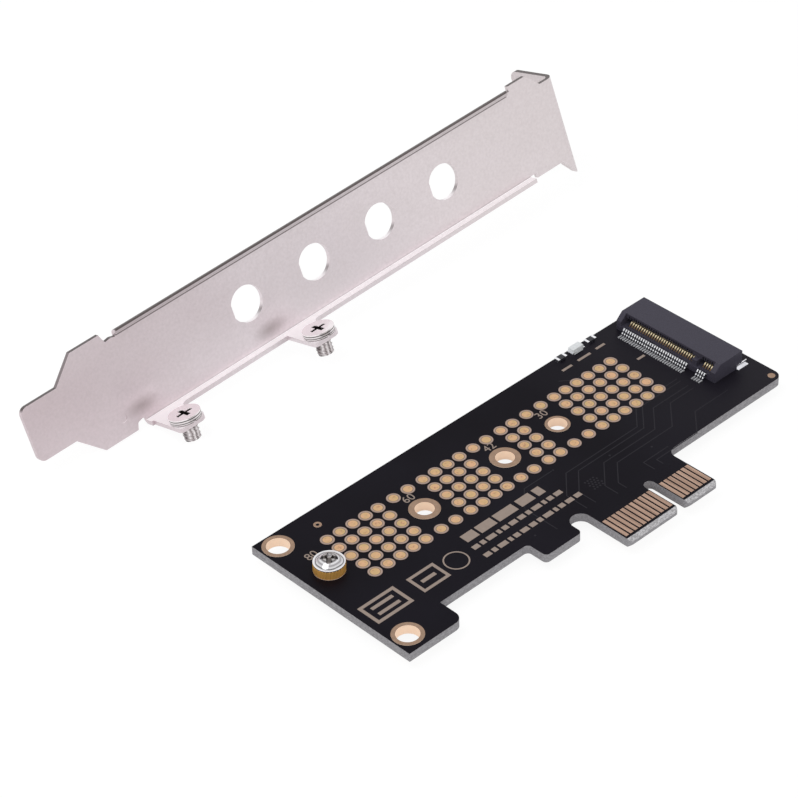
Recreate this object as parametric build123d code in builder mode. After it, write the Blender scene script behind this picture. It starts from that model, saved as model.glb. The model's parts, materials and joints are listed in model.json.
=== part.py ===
from build123d import *
import os

# Slot adapter card for a solid state drive module, with its slot bracket lying loose behind it.
# Millimetres. The board lies level: X runs along it from the bracket end to the socket, Y runs
# across it away from the slot tongue, Z is up. The origin is midway between the board's two
# bracket holes, on its underside.

# Board outline
board_thick = 1.57
board_past_module = 5.2        # module's seated end to the board's right edge
board_width = 30.23            # top edge to the shoulder beside the tongue
hole_to_left = 2.91            # bracket holes to the left edge
hole_to_top = 2.87             # upper bracket hole to the top edge
left_tab_width = 11.25
left_tab_drop = 5.02
mid_tab_from_left = 30.1
mid_tab_width = 8.0
mid_tab_drop = 3.99
notch_width = 3.6              # round notch between the middle tab and the tongue
notch_step = 0.22              # its crown sits this far below the shoulder line
tongue_width = 20.26
tongue_drop = 10.82
tongue_bevel_run = 0.7
tongue_bevel_depth = 0.5
key_width = 1.95
key_from_left = 12.15          # key slot centre from the tongue's left side, 11 contacts in
key_length = 8.12
corner_large = 1.6
corner_small = 0.8

# Slot contacts
contact_pitch = 1.0
contacts_before_key = 11
contacts_after_key = 7
contact_width = 0.7
contact_length = 5.08
contact_key_gap = 1.5          # key slot centre to the contact on each side of it
contact_end_gap = 1.22         # contact end to the tongue's tip
copper_thick = 0.05

# Bracket holes
bracket_hole_pitch = 28.99
bracket_hole_dia = 3.85
bracket_land_dia = 5.17

# Drive module seat: its centre line and the hole stations measured from the module's seated end
module_line_y = 4.725
full_hole_x = 1.84             # bracket holes to the module hole nearest them
module_stations = {"short": 30.0, "medium": 42.1, "long": 60.0, "full": 80.25}
module_hole_dia = 3.25
module_land_dia = 5.15
short_land_dia = 4.2
land_clearance = 0.03          # each land's inner edge stays this far back from the bore
land_sides = 24                # each thin land is a ring with this many sides

# Heat pads: bare copper discs, columns measured back from the module's seated end
heat_pad_dia = 2.35
heat_pad_pitch = 2.7
heat_row_count = 5
heat_pad_sides = 8             # each small disc is an eight-sided prism
first_pad_column = 11.73       # the first column beside the socket
columns_past_hole = 4.95       # module hole to the next full column
columns_before_hole = 4.3      # least room between a full column and the next module hole
beside_hole = {"short": (-1.61, 1.72), "medium": (-1.13, 1.87), "long": (-1.53, 1.61)}

# Module socket
socket_length = 22.0
socket_front_gap = 4.25        # these four are measured from the module's seated end
socket_roof_gap = 2.95
socket_rear_gap = 2.5
slot_floor_gap = 0.16
socket_height = 3.1
socket_jaw_height = 1.1
socket_lead_rise = 1.9         # height at which the sloped nose of each cheek starts
slot_length = 19.95
slot_height = 1.05
key_rib_offset = 6.125
key_rib_width = 1.05
pin_pitch = 0.5
pin_first = 9.25               # first rear pin from the module's centre line
pin_count_long = 29
pin_count_short = 5            # the front row has one fewer
key_gap_count = 5              # pitches across the key
pin_width = 0.22
pin_thick = 0.15
pin_clearance = 0.04
groove_floor = 0.3             # floor of the front grooves above the board
groove_roof = 0.35             # plastic left over the rear grooves
bar_gap = 0.31                 # plain bar over the front grooves, from the socket's front
bar_width = 0.5
bar_thick = 0.2
tail_reach = 1.75
leg_foot_gap = 0.9
leg_top_gap = 0.2
arm_dip = 0.4                  # front arm below the jaw's top, under the bar
arm_crest = 0.4                # its crest above the jaw's top
arm_crest_gap = 0.4            # its crest behind the roof's front edge
arm_end_gap = 0.45
rear_tail_reach = 1.0
rear_leg_gap = 0.2
rear_arm_sink = 0.25
rear_arm_gap = 0.6
rear_arm_dip = 0.1
hold_down_width = 2.5
hold_down_reach = 0.62
hold_down_past_rear = 1.0
hold_down_height = 0.9
hold_down_thick = 0.2
peg_dia = 1.1
peg_depth = 1.0
peg_offset = 9.0

# Standoff, its nut and the module screw
standoff_dia = 5.2
standoff_height = 1.5
knurl_count = 30
knurl_depth = 0.13
stud_dia = 3.0
nut_across = 5.5
nut_thick = 1.8
screw_flange_dia = 5.1
screw_flange_thick = 0.2
screw_dome_dia = 4.35
screw_dome_rise = 0.9
screw_shank_dia = 2.5
screw_shank_length = 2.4
recess_span = 3.0
recess_wing = 0.78
recess_depth = 0.8
recess_taper = 12
thread_clearance = 0.03

# Small parts along the top edge
indicator_from_right = 20.2     # these measure the left side of each part
indicator_size = (3.0, 1.4, 1.0)
indicator_base = 0.4
resistor_size = (2.1, 1.08, 0.48)
resistor_from_right = (23.2, 16.15)
part_edge_gap = 0.25           # gap from each small part to the board's top edge
terminal_length = 0.45
lens_draft = 8
terminal_skin = 0.04

# Slot bracket: u along it from the tail, w across it, v out of its front face
sheet = 0.8
bracket_length = 120.02
bracket_width = 18.42
tail_low = 4.28
tail_high = 14.3
tail_length = 7.37
tail_corner = 1.3
shoulder_length = 11.76
bend_inner = 0.3
lip_start = 20.5
lip_end_gap = 11.12            # these three are measured back from the flange's face
shoulder_cut_gap = 6.32
wing_gap = 3.3
lip_overlap = 0.2
top_lip_height = 18.0
top_lip_reach = 0.55
low_lip_reach = 1.5
relief_width = 2.0
relief_depth = 1.5
relief_slant = 0.4
relief_tilt = 0.3
relief_step = 0.5
relief_corner = 0.3
top_relief_us = (0.9, 2.1, 2.8)  # its three corners before the lips start
top_relief_tilt = 0.2
end_relief_width = 1.4
end_relief_depth = 0.95
top_gap = 0.7
top_gap_depth = 1.0
tab_width = 5.6
tab_reach = 9.45
tab_starts = (20.9, 50.0)
tab_hole_from_face = 7.2
tab_hole_dia = 3.2
tab_corner = 1.5
connector_hole_dia = 6.5
connector_flat = 3.0
connector_first = 45.6
connector_pitch = 15.03
connector_count = 4
connector_height = 9.2
flange_low = -3.35
flange_high = 15.6
flange_reach = 11.5
flange_top_corner = 1.8
flange_low_corner = 1.0
flange_bend_inner = 0.9
flange_notch_dia = 4.4
flange_notch_from_face = 6.4
flange_notch_depth = 6.2
dimple_dia = 1.5
dimple_depth = 0.12
dimple_at = (16.6, 3.3)

# Screws left in the bracket tabs
tab_screw_head_dia = 5.6
tab_screw_head = 0.8
tab_screw_dia = 2.7
tab_screw_length = 4.05
washer_thick = 0.35
washer_outer = 5.4
washer_inner = 3.3
washer_split = 0.5
seat_gap = 0.02

# How the loose bracket lies: its tail's lower front corner, and its turn, rise and lean
bracket_at = (-12.74, 55.875, -2.46)
bracket_turn = 1.47
bracket_rise = 4.36
bracket_lean = 17.49

# Worked-out places
board_left = -hole_to_left
module_end_x = full_hole_x + module_stations["full"]
board_right = module_end_x + board_past_module
board_top = bracket_hole_pitch / 2 + hole_to_top
shoulder_y = board_top - board_width
left_tab_x = board_left + left_tab_width
left_tab_y = shoulder_y - left_tab_drop
mid_tab_x = board_left + mid_tab_from_left
mid_tab_end = mid_tab_x + mid_tab_width
mid_tab_y = shoulder_y - mid_tab_drop
tongue_x = mid_tab_end + notch_width
tongue_end = tongue_x + tongue_width
tongue_y = shoulder_y - tongue_drop
notch_r = notch_width / 2
notch_y = shoulder_y - notch_step - notch_r
key_x = tongue_x + key_from_left
station_x = {name: module_end_x - far for name, far in module_stations.items()}
standoff_at = (station_x["full"], module_line_y)
socket_front_x = module_end_x - socket_front_gap
socket_roof_x = module_end_x - socket_roof_gap
socket_rear_x = module_end_x + socket_rear_gap
slot_floor_x = module_end_x + slot_floor_gap
peg_places = [((socket_front_x + socket_rear_x) / 2, module_line_y + side * peg_offset) for side in (-1, 1)]
lay = Pos(*bracket_at) * Rot(Z=-bracket_turn) * Rot(Y=-bracket_rise) * Rot(X=-bracket_lean)
along = Plane(lay * Plane.YZ.location)
across = Plane(lay)
face = Plane(lay * Plane.XZ.location)


def corners(shape, points):
    """Vertices of a shape that lie nearest the given points."""
    return [shape.vertices().sort_by_distance(point)[0] for point in points]


def spot(u, v, w):
    """Point of the loose bracket, from its own three distances."""
    return (lay * Pos(u, -v, w)).position


# Circuit board
with BuildPart() as circuit_board:
    with BuildSketch() as outline:
        with BuildLine():
            Polyline(
                (board_left, board_top),
                (board_left, left_tab_y),
                (left_tab_x, left_tab_y),
                (left_tab_x, shoulder_y),
                (mid_tab_x, shoulder_y),
                (mid_tab_x, mid_tab_y),
                (mid_tab_end, mid_tab_y),
                (mid_tab_end, notch_y),
            )
            ThreePointArc(
                (mid_tab_end, notch_y),
                (mid_tab_end + notch_r, notch_y + notch_r),
                (tongue_x, notch_y),
            )
            Polyline(
                (tongue_x, notch_y),
                (tongue_x, tongue_y),
                (tongue_end, tongue_y),
                (tongue_end, shoulder_y),
                (board_right, shoulder_y),
                (board_right, board_top),
                (board_left, board_top),
            )
        make_face()
        with Locations((key_x, tongue_y)):
            Rectangle(key_width, 2 * (key_length - key_width / 2), mode=Mode.SUBTRACT)
        with Locations((key_x, tongue_y + key_length - key_width / 2)):
            Circle(key_width / 2, mode=Mode.SUBTRACT)
        key_left = key_x - key_width / 2
        key_right = key_x + key_width / 2
        large = [
            (left_tab_x, left_tab_y),
            (board_right, shoulder_y),
            (tongue_end, shoulder_y),
        ]
        small = [
            (board_right, board_top),
            (mid_tab_x, shoulder_y),
            (mid_tab_x, mid_tab_y),
            (mid_tab_end, mid_tab_y),
            (tongue_x, tongue_y),
            (key_left, tongue_y),
            (key_right, tongue_y),
            (tongue_end, tongue_y),
        ]
        fillet(corners(outline.sketch_local, large), radius=corner_large)
        fillet(corners(outline.sketch_local, small), radius=corner_small)
    extrude(amount=board_thick)
    with BuildSketch(Plane.YZ.offset(tongue_x)):
        for low, high in ((0, tongue_bevel_depth), (board_thick, board_thick - tongue_bevel_depth)):
            with BuildLine():
                Polyline(
                    (tongue_y, low),
                    (tongue_y + tongue_bevel_run, low),
                    (tongue_y, high),
                    (tongue_y, low),
                )
            make_face()
    extrude(amount=tongue_width, mode=Mode.SUBTRACT)
    with GridLocations(0, bracket_hole_pitch, 1, 2):
        Hole(radius=bracket_hole_dia / 2)
    with Locations(*[(x, module_line_y) for x in station_x.values()]):
        Hole(radius=module_hole_dia / 2)
    with Locations(*peg_places):
        Hole(radius=peg_dia / 2 + pin_clearance)


# Slot contacts, the same on both faces of the tongue
first_contact_x = key_x - contact_key_gap - contact_pitch * (contacts_before_key - 1)
after_key_x = key_x + contact_key_gap
contact_xs = [first_contact_x + k * contact_pitch for k in range(contacts_before_key)]
contact_xs += [after_key_x + k * contact_pitch for k in range(contacts_after_key)]
contact_y = tongue_y + contact_end_gap + contact_length / 2


def edge_contacts(level):
    """Row of flat copper fingers that starts at the given height."""
    with BuildPart() as row:
        with BuildSketch(Plane.XY.offset(level)):
            with Locations(*[(x, contact_y) for x in contact_xs]):
                Rectangle(contact_width, contact_length)
        extrude(amount=copper_thick)
    return row


front_edge_contacts = edge_contacts(board_thick)
back_edge_contacts = edge_contacts(-copper_thick)


# Heat pads
def columns(first, last):
    """Columns at the pad pitch, as many as fit between two stations."""
    count = int((last - first) / heat_pad_pitch) + 1 if last > first else 0
    return [first + k * heat_pad_pitch for k in range(count)]


row_rises = [heat_pad_pitch * (k - (heat_row_count - 1) / 2) for k in range(heat_row_count)]
holes = [module_stations[name] for name in ("short", "medium", "long", "full")]
starts = [first_pad_column] + [hole + columns_past_hole for hole in holes[:-1]]
full_columns = []
for start, hole in zip(starts, holes):
    full_columns += columns(start, hole - columns_before_hole)
side_columns = [module_stations[name] + shift for name, pair in beside_hole.items() for shift in pair]
pad_places = [(module_end_x - column, module_line_y + rise) for column in full_columns for rise in row_rises]
for column in side_columns:
    pad_places += [(module_end_x - column, module_line_y + rise) for rise in (row_rises[0], row_rises[-1])]

with BuildPart() as thermal_pads:
    with BuildSketch(Plane.XY.offset(board_thick)):
        with Locations(*pad_places):
            RegularPolygon(heat_pad_dia / 2, heat_pad_sides)
    extrude(amount=copper_thick)


# Copper lands round the holes, one on each face
def hole_lands(places):
    """Thin rings on both faces, each given as its place, bore and outer diameter."""
    with BuildPart() as lands:
        for level in (-copper_thick, board_thick):
            with BuildSketch(Plane.XY.offset(level)):
                for place, bore, land in places:
                    with Locations(place):
                        RegularPolygon(land / 2, land_sides)
                        RegularPolygon(bore / 2 + land_clearance, land_sides, major_radius=False,
                                       mode=Mode.SUBTRACT)
            extrude(amount=copper_thick)
    return lands


bracket_hole_lands = hole_lands(
    [((0, side * bracket_hole_pitch / 2), bracket_hole_dia, bracket_land_dia) for side in (-1, 1)]
)
land_dias = {"short": short_land_dia, "medium": module_land_dia, "long": module_land_dia,
             "full": module_land_dia}
module_hole_lands = hole_lands(
    [((x, module_line_y), module_hole_dia, land_dias[name]) for name, x in station_x.items()]
)
land_top = board_thick + copper_thick


# Module socket: pins count from the far cheek; the front row feeds the jaw, the rear row the roof
roof_z = board_thick + socket_height
jaw_z = board_thick + socket_jaw_height
slot_top_z = jaw_z + slot_height
lower_groove_z = board_thick + groove_floor
upper_groove_z = roof_z - groove_roof
groove_width = pin_width + 2 * pin_clearance
bar_x = socket_front_x + bar_gap


def bank(first_y, fewer):
    """Pin places of one row: a long bank, the key's gap, then a short bank."""
    restart = first_y - (pin_count_long - 1 + key_gap_count) * pin_pitch
    long_bank = [first_y - k * pin_pitch for k in range(pin_count_long)]
    short_bank = [restart - k * pin_pitch for k in range(pin_count_short - fewer)]
    return long_bank + short_bank


lower_ys = bank(module_line_y + pin_first - pin_pitch / 2, 1)
upper_ys = bank(module_line_y + pin_first, 0)

with BuildPart() as socket_housing:
    with BuildSketch(Plane.XZ.offset(-module_line_y - socket_length / 2)):
        with BuildLine():
            Polyline(
                (socket_front_x, board_thick),
                (socket_rear_x, board_thick),
                (socket_rear_x, roof_z),
                (socket_roof_x, roof_z),
                (socket_front_x, board_thick + socket_lead_rise),
                (socket_front_x, board_thick),
            )
        make_face()
    extrude(amount=socket_length)
    with BuildSketch(Plane.XY.offset(jaw_z)):
        with Locations(((socket_front_x + socket_roof_x) / 2, module_line_y)):
            Rectangle(socket_roof_x - socket_front_x, slot_length)
    extrude(amount=socket_height, mode=Mode.SUBTRACT)
    with BuildSketch(Plane.XY.offset(jaw_z)):
        with Locations(((socket_roof_x + slot_floor_x) / 2, module_line_y)):
            Rectangle(slot_floor_x - socket_roof_x, slot_length)
    extrude(amount=slot_height, mode=Mode.SUBTRACT)
    with BuildSketch(Plane.XY.offset(lower_groove_z)):
        with Locations(*[((socket_front_x + slot_floor_x) / 2, y) for y in lower_ys]):
            Rectangle(slot_floor_x - socket_front_x, groove_width)
    extrude(amount=jaw_z - lower_groove_z, mode=Mode.SUBTRACT)
    with BuildSketch(Plane.XY.offset(jaw_z - bar_thick)):
        with Locations((bar_x + bar_width / 2, module_line_y)):
            Rectangle(bar_width, slot_length)
    extrude(amount=bar_thick)
    with BuildSketch(Plane.XY.offset(slot_top_z)):
        with Locations(*[((socket_roof_x + socket_rear_x) / 2, y) for y in upper_ys]):
            Rectangle(socket_rear_x - socket_roof_x, groove_width)
    extrude(amount=upper_groove_z - slot_top_z, mode=Mode.SUBTRACT)
    with BuildSketch(Plane.XY.offset(jaw_z)):
        with Locations(((bar_x + slot_floor_x) / 2, module_line_y - key_rib_offset)):
            Rectangle(slot_floor_x - bar_x, key_rib_width)
    extrude(amount=slot_height)
    with BuildSketch(Plane.XY.offset(board_thick - peg_depth)):
        with Locations(*peg_places):
            Circle(peg_dia / 2)
    extrude(amount=peg_depth)


def strip(points, thick):
    """Closed outline of a bent strip, given its centre line as (x, z) points."""
    centre = [Vector(*point) for point in points]
    ways = [(after - before).normalized() for before, after in zip(centre, centre[1:])]
    shifts = []
    for before, after in zip(ways[:1] + ways, ways + ways[-1:]):
        mid = (before + after).normalized()
        shifts.append(Vector(-mid.Y, mid.X) * (thick / 2 / mid.dot(before)))
    left = [place + shift for place, shift in zip(centre, shifts)]
    right = [place - shift for place, shift in zip(centre, shifts)]
    return left + right[::-1] + left[:1]


def contact_row(points, places):
    """One bent strip for each pin place along the socket."""
    with BuildPart() as row:
        for y in places:
            with BuildSketch(Plane.XZ.offset(-y - pin_width / 2)):
                with BuildLine():
                    Polyline(*strip(points, pin_thick))
                make_face()
            extrude(amount=pin_width)
    return row


foot_z = board_thick + pin_thick / 2
lower_path = [
    (socket_front_x - tail_reach, foot_z),
    (socket_front_x - leg_foot_gap, foot_z),
    (socket_front_x - leg_top_gap, jaw_z),
    (bar_x, jaw_z - arm_dip),
    (bar_x + bar_width, jaw_z - arm_dip),
    (socket_roof_x + arm_crest_gap, jaw_z + arm_crest),
    (slot_floor_x - arm_end_gap, jaw_z - arm_dip),
]
upper_path = [
    (socket_rear_x + rear_tail_reach, foot_z),
    (socket_rear_x + rear_leg_gap, foot_z),
    (socket_rear_x + rear_leg_gap, upper_groove_z - rear_arm_sink),
    (socket_roof_x + rear_arm_gap, slot_top_z - rear_arm_dip),
]
socket_lower_contacts = contact_row(lower_path, lower_ys)
socket_upper_contacts = contact_row(upper_path, upper_ys)

hold_down_x = socket_rear_x + hold_down_past_rear - hold_down_width / 2
with BuildPart() as socket_hold_downs:
    for side in (-1, 1):
        wall_y = module_line_y + side * socket_length / 2
        with BuildSketch(Plane.XY.offset(board_thick)):
            with Locations((hold_down_x, wall_y + side * hold_down_reach / 2)):
                Rectangle(hold_down_width, hold_down_reach)
        extrude(amount=hold_down_thick)
        with BuildSketch(Plane.XY.offset(board_thick)):
            with Locations((hold_down_x, wall_y + side * hold_down_thick / 2)):
                Rectangle(hold_down_width, hold_down_thick)
        extrude(amount=hold_down_height)


# Brass standoff with its knurled collar
collar_z = land_top
collar_top = board_thick + standoff_height
rim_radii = [standoff_dia / 2 - knurl_depth * (k % 2) for k in range(2 * knurl_count)]
rim = [Vector(radius, 0).rotate(Axis.Z, 180 * k / knurl_count) for k, radius in enumerate(rim_radii)]
with BuildPart() as standoff:
    with BuildSketch(Plane.XY.offset(collar_z)):
        with Locations(standoff_at):
            Polygon(*[(point.X, point.Y) for point in rim], align=None)
    extrude(amount=collar_top - collar_z)
    with BuildSketch(Plane.XY.offset(-nut_thick)):
        with Locations(standoff_at):
            Circle(stud_dia / 2)
    extrude(amount=collar_z + nut_thick)
    with BuildSketch(Plane.XY.offset(collar_top)):
        with Locations(standoff_at):
            Circle(screw_shank_dia / 2 + thread_clearance)
    extrude(amount=-(screw_shank_length + seat_gap), mode=Mode.SUBTRACT)

with BuildPart() as standoff_nut:
    with BuildSketch(Plane.XY.offset(-nut_thick)):
        with Locations(standoff_at):
            RegularPolygon(nut_across / 2, 6, major_radius=False)
            Circle(stud_dia / 2 + thread_clearance, mode=Mode.SUBTRACT)
    extrude(amount=nut_thick - copper_thick)


def cross(plane):
    """Outline of a screw head's cross recess on the given plane."""
    with BuildSketch(plane) as wings:
        Rectangle(recess_span, recess_wing)
        Rectangle(recess_wing, recess_span)
    return wings.sketch


screw_axis = Plane(origin=(*standoff_at, collar_top), x_dir=(1, 0, 0), z_dir=(0, -1, 0))
dome_top = screw_flange_thick + screw_dome_rise
with BuildPart() as module_screw:
    with BuildSketch(screw_axis):
        with BuildLine():
            Polyline(
                (0, dome_top),
                (0, -screw_shank_length),
                (screw_shank_dia / 2, -screw_shank_length),
                (screw_shank_dia / 2, 0),
                (screw_flange_dia / 2, 0),
                (screw_flange_dia / 2, screw_flange_thick),
                (screw_dome_dia / 2, screw_flange_thick),
            )
            TangentArc(
                (0, dome_top),
                (screw_dome_dia / 2, screw_flange_thick),
                tangent=(1, 0),
            )
        make_face()
    revolve(axis=Axis(screw_axis.origin, (0, 0, 1)))
    crown = Plane(origin=(*standoff_at, collar_top + dome_top), x_dir=(1, 1, 0))
    extrude(cross(crown), amount=-recess_depth, taper=recess_taper, mode=Mode.SUBTRACT)


# Indicator lamp and resistors near the top edge
indicator_x = board_right - indicator_from_right + indicator_size[0] / 2
indicator_y = board_top - part_edge_gap - indicator_size[1] / 2
with BuildPart() as led_terminals:
    with BuildSketch(Plane.XY.offset(board_thick)):
        for side in (-1, 1):
            with Locations((indicator_x + side * (indicator_size[0] - terminal_length) / 2, indicator_y)):
                Rectangle(terminal_length, indicator_size[1])
    extrude(amount=indicator_base)

with BuildPart() as led_base:
    with BuildSketch(Plane.XY.offset(board_thick)):
        with Locations((indicator_x, indicator_y)):
            Rectangle(indicator_size[0] - 2 * terminal_length, indicator_size[1])
    extrude(amount=indicator_base)

with BuildPart() as led_lens:
    with BuildSketch(Plane.XY.offset(board_thick + indicator_base)):
        with Locations((indicator_x, indicator_y)):
            Rectangle(indicator_size[0] - terminal_length, indicator_size[1])
    extrude(amount=indicator_size[2] - indicator_base, taper=lens_draft)

resistor_y = board_top - part_edge_gap - resistor_size[1] / 2
resistor_xs = [board_right - start + resistor_size[0] / 2 for start in resistor_from_right]
with BuildPart() as resistor_bodies:
    with BuildSketch(Plane.XY.offset(board_thick)):
        with Locations(*[(x, resistor_y) for x in resistor_xs]):
            Rectangle(resistor_size[0] - 2 * terminal_length, resistor_size[1])
    extrude(amount=resistor_size[2])

with BuildPart() as resistor_terminals:
    with BuildSketch(Plane.XY.offset(board_thick)):
        for x in resistor_xs:
            for side in (-1, 1):
                with Locations((x + side * (resistor_size[0] - terminal_length) / 2, resistor_y)):
                    Rectangle(terminal_length, resistor_size[1])
    extrude(amount=resistor_size[2] + terminal_skin)


# Slot bracket, one folded sheet
bend_outer = bend_inner + sheet
web_low = bend_outer + lip_overlap
web_high = top_lip_height - bend_outer - lip_overlap
lip_end = bracket_length - lip_end_gap
shoulder_cut_start = bracket_length - shoulder_cut_gap
wing_start = bracket_length - wing_gap
relief_low = [
    (lip_start - relief_width + relief_slant, relief_depth - relief_tilt),
    (lip_start - relief_step, relief_depth),
]
relief_high = [
    (lip_start - top_relief_us[0], bracket_width - relief_depth),
    (lip_start - top_relief_us[1], bracket_width - relief_depth - top_relief_tilt),
]
flange_bend_outer = flange_bend_inner + sheet
wing_bend_u = bracket_length - flange_bend_outer


def folded_lip(rim, way, reach):
    """Section of one folded lip before its bend is rounded: off the web, then towards the front."""
    web = rim + way * (bend_outer + lip_overlap)
    leg = rim + way * sheet
    return [(sheet, web), (sheet, rim), (-reach, rim), (-reach, leg), (0, leg), (0, web), (sheet, web)]


with BuildPart() as bracket:
    with BuildSketch(face) as blank:
        with BuildLine():
            Polyline(
                (0, tail_low),
                (tail_length, tail_low),
                (shoulder_length, 0),
                (lip_start - relief_width, 0),
                *relief_low,
                (lip_start, web_low),
                (lip_end, web_low),
                (lip_end, end_relief_depth),
                (lip_end + end_relief_width, end_relief_depth),
                (lip_end + end_relief_width, 0),
                (wing_bend_u, 0),
                (wing_bend_u, flange_high),
                (shoulder_cut_start + bracket_width - flange_high, flange_high),
                (shoulder_cut_start, bracket_width),
                (lip_end + top_gap, bracket_width),
                (lip_end + top_gap, bracket_width - top_gap_depth),
                (lip_end, bracket_width - top_gap_depth),
                (lip_end, web_high),
                (lip_start, web_high),
                *relief_high,
                (lip_start - top_relief_us[2], bracket_width),
                (shoulder_length, bracket_width),
                (tail_length, tail_high),
                (0, tail_high),
                (0, tail_low),
            )
        make_face()
        tail_corners = corners(blank.sketch_local, [(0, tail_low), (0, tail_high)])
        fillet(tail_corners, radius=tail_corner)
        fillet(corners(blank.sketch_local, relief_low[:1] + relief_high), radius=relief_corner)
        for k in range(connector_count):
            with Locations((connector_first + k * connector_pitch, connector_height)):
                Circle(connector_hole_dia / 2, mode=Mode.SUBTRACT)
            flat_width = connector_hole_dia / 2 - connector_flat
            with Locations((connector_first + k * connector_pitch - connector_flat - flat_width / 2,
                            connector_height)):
                Rectangle(flat_width, connector_hole_dia)
    extrude(amount=-sheet)
    with BuildSketch(along.offset(lip_start)) as low_lip:
        with BuildLine():
            Polyline(*folded_lip(0, 1, low_lip_reach))
        make_face()
        fillet(corners(low_lip.sketch_local, [(sheet, 0)]), radius=bend_outer)
        fillet(corners(low_lip.sketch_local, [(0, sheet)]), radius=bend_inner)
    extrude(amount=lip_end - lip_start)
    with BuildSketch(along.offset(lip_start)) as top_lip:
        with BuildLine():
            Polyline(*folded_lip(top_lip_height, -1, top_lip_reach))
        make_face()
        fillet(corners(top_lip.sketch_local, [(sheet, top_lip_height)]), radius=bend_outer)
        fillet(corners(top_lip.sketch_local, [(0, top_lip_height - sheet)]), radius=bend_inner)
    extrude(amount=lip_end - lip_start)
    for start in tab_starts:
        end = start + tab_width
        with BuildSketch(across) as tab:
            with BuildLine():
                Polyline(
                    (start, -bend_outer),
                    (start, -tab_reach),
                    (end, -tab_reach),
                    (end, -low_lip_reach),
                    (end + 2 * tab_corner, -low_lip_reach),
                    (end + 2 * tab_corner, -bend_outer),
                    (start, -bend_outer),
                )
            make_face()
            round_ends = [(end, -tab_reach), (end, -low_lip_reach)]
            fillet(corners(tab.sketch_local, round_ends), radius=tab_corner)
            fillet(corners(tab.sketch_local, [(start, -tab_reach)]), radius=corner_small)
            with Locations(((start + end) / 2, -tab_hole_from_face)):
                Circle(tab_hole_dia / 2, mode=Mode.SUBTRACT)
        extrude(amount=sheet)
    with BuildSketch(across.offset(flange_low)) as flange:
        with BuildLine():
            Polyline(
                (wing_start, 0),
                (bracket_length, 0),
                (bracket_length, flange_reach),
                (bracket_length - sheet, flange_reach),
                (bracket_length - sheet, sheet),
                (wing_start, sheet),
                (wing_start, 0),
            )
        make_face()
        fillet(corners(flange.sketch_local, [(bracket_length, 0)]), radius=flange_bend_outer)
        fillet(corners(flange.sketch_local, [(bracket_length - sheet, sheet)]), radius=flange_bend_inner)
    extrude(amount=flange_high - flange_low)
    flange_corners = [
        (spot(bracket_length - sheet / 2, -flange_reach, flange_high), flange_top_corner),
        (spot(bracket_length - sheet / 2, -flange_reach, flange_low), flange_low_corner),
    ]
    for place, radius in flange_corners:
        fillet(bracket.edges().sort_by_distance(place)[0], radius=radius)
    with BuildSketch(face):
        with BuildLine():
            Polyline(
                (wing_start, 0),
                (wing_start, flange_low),
                (bracket_length - sheet, flange_low),
                (wing_start, 0),
            )
        make_face()
    extrude(amount=-flange_bend_outer, mode=Mode.SUBTRACT)
    with BuildSketch(along.offset(bracket_length)):
        with Locations((flange_notch_from_face, flange_low + flange_notch_depth - flange_notch_dia / 2)):
            Circle(flange_notch_dia / 2)
        with Locations((flange_notch_from_face, flange_low + (flange_notch_depth - flange_notch_dia / 2) / 2)):
            Rectangle(flange_notch_dia, flange_notch_depth - flange_notch_dia / 2)
    extrude(amount=-2 * sheet, mode=Mode.SUBTRACT)
    with BuildSketch(face):
        with Locations(dimple_at):
            Circle(dimple_dia / 2)
    extrude(amount=-dimple_depth, mode=Mode.SUBTRACT)


# Screws and split lock washers left in the bracket's tabs
washer_seat = sheet + seat_gap
head_seat = washer_seat + washer_thick + seat_gap
tab_seats = [Plane(lay * Pos(start + tab_width / 2, -tab_hole_from_face, head_seat)) for start in tab_starts]

with BuildPart() as bracket_screws:
    for seat in tab_seats:
        upright = Plane(seat.origin, x_dir=seat.x_dir, z_dir=-seat.y_dir)
        with BuildSketch(upright):
            with BuildLine():
                Polyline(
                    (0, tab_screw_head),
                    (0, -tab_screw_length),
                    (tab_screw_dia / 2, -tab_screw_length),
                    (tab_screw_dia / 2, 0),
                    (tab_screw_head_dia / 2, 0),
                    (tab_screw_head_dia / 2, tab_screw_head),
                    (0, tab_screw_head),
                )
            make_face()
        revolve(axis=Axis(seat.origin, seat.z_dir))
        top = seat.offset(tab_screw_head)
        extrude(cross(top), amount=-recess_depth, taper=recess_taper, mode=Mode.SUBTRACT)

with BuildPart() as bracket_lock_washers:
    for seat in tab_seats:
        with BuildSketch(seat.offset(washer_seat - head_seat)):
            Circle(washer_outer / 2)
            Circle(washer_inner / 2, mode=Mode.SUBTRACT)
            with Locations((0, -washer_outer / 2)):
                Rectangle(washer_split, washer_outer, mode=Mode.SUBTRACT)
        extrude(amount=washer_thick)


pieces = {
    "circuit_board": circuit_board,
    "front_edge_contacts": front_edge_contacts,
    "back_edge_contacts": back_edge_contacts,
    "thermal_pads": thermal_pads,
    "bracket_hole_lands": bracket_hole_lands,
    "module_hole_lands": module_hole_lands,
    "socket_housing": socket_housing,
    "socket_lower_contacts": socket_lower_contacts,
    "socket_upper_contacts": socket_upper_contacts,
    "socket_hold_downs": socket_hold_downs,
    "standoff": standoff,
    "standoff_nut": standoff_nut,
    "module_screw": module_screw,
    "led_base": led_base,
    "led_lens": led_lens,
    "led_terminals": led_terminals,
    "resistor_bodies": resistor_bodies,
    "resistor_terminals": resistor_terminals,
    "bracket": bracket,
    "bracket_screws": bracket_screws,
    "bracket_lock_washers": bracket_lock_washers,
}
os.makedirs("parts", exist_ok=True)
for name, piece in pieces.items():
    piece.part.label = name
    export_step(piece.part, f"parts/{name}.step")
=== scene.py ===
import json
import math

import bmesh
import bpy
from mathutils import Euler, Matrix, Vector


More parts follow.
